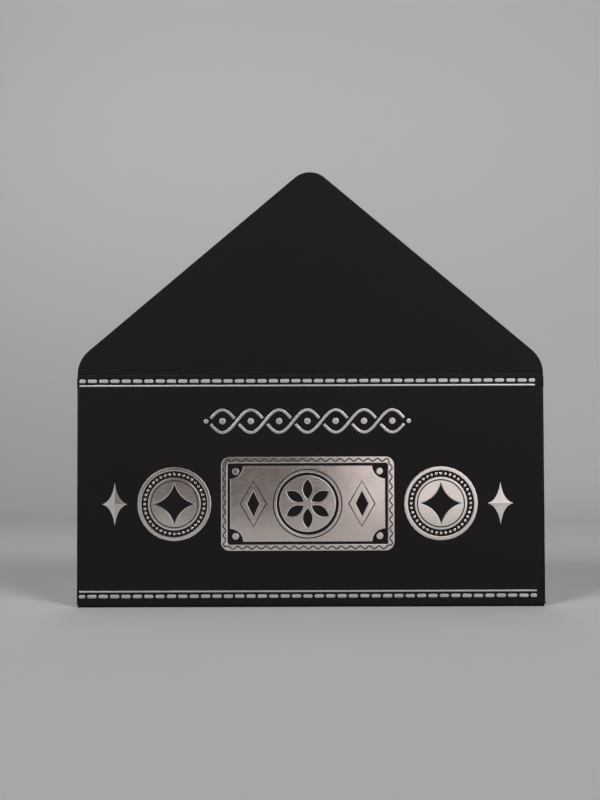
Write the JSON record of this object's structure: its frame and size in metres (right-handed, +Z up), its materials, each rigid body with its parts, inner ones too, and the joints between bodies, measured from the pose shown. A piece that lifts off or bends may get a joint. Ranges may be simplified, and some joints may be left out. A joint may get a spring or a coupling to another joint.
{
  "type": "money envelope",
  "caption": "Flat gift envelope of dark folded card with a pointed hinged flap, an open-topped pocket for banknotes, stitched foil borders and a foil banknote design.",
  "frame": {"origin": "on the ground under the middle of the upright envelope, at half its thickness", "axes": "+X to the right seen from the front, +Y from the front panel towards the back panel, +Z up towards the flap's tip"},
  "size_m": [0.165, 0.0021, 0.154],
  "materials": {
    "card": "matt black card with a soft-touch coat",
    "foil": "warm silver hot-stamped foil",
    "glue": "dried hot-melt glue"
  },
  "bodies": {
    "envelope_body": {"front_panel": "card", "back_panel": "card", "bottom_fold": "card", "left_side_fold": "card", "right_side_fold": "card", "left_side_tab": "card", "right_side_tab": "card", "flap_crease": "card", "left_glue_strip": "glue", "right_glue_strip": "glue", "top_foil_line": "foil", "bottom_foil_line": "foil", "note_frame": "foil", "note_field": "foil", "note_medallion": "foil", "note_corner_dot_1": "foil", "note_corner_dot_2": "foil", "note_corner_dot_3": "foil", "note_corner_dot_4": "foil", "left_coin_rim": "foil", "left_coin_face": "foil", "right_coin_rim": "foil", "right_coin_face": "foil", "left_end_star": "foil", "right_end_star": "foil", "braid_strand_1": "foil", "braid_strand_2": "foil", "braid_strand_3": "foil", "braid_strand_4": "foil", "braid_strand_5": "foil", "braid_strand_6": "foil", "braid_strand_7": "foil", "braid_strand_8": "foil", "braid_dot_1": "foil", "braid_dot_2": "foil", "braid_dot_3": "foil", "braid_dot_4": "foil", "braid_dot_5": "foil", "braid_dot_6": "foil", "braid_dot_7": "foil", "left_braid_end_dot": "foil", "right_braid_end_dot": "foil"},
    "flap": {"top_flap": "card"}
  },
  "joints": [
    {"name": "flap_fold", "type": "hinge", "parent": "envelope_body", "child": "flap", "pos_m": [0, 0.00035, 0.082], "axis": [-1, 0, 0], "range_deg": [0, 179], "deforming": ["flap_crease"]}
  ]
}
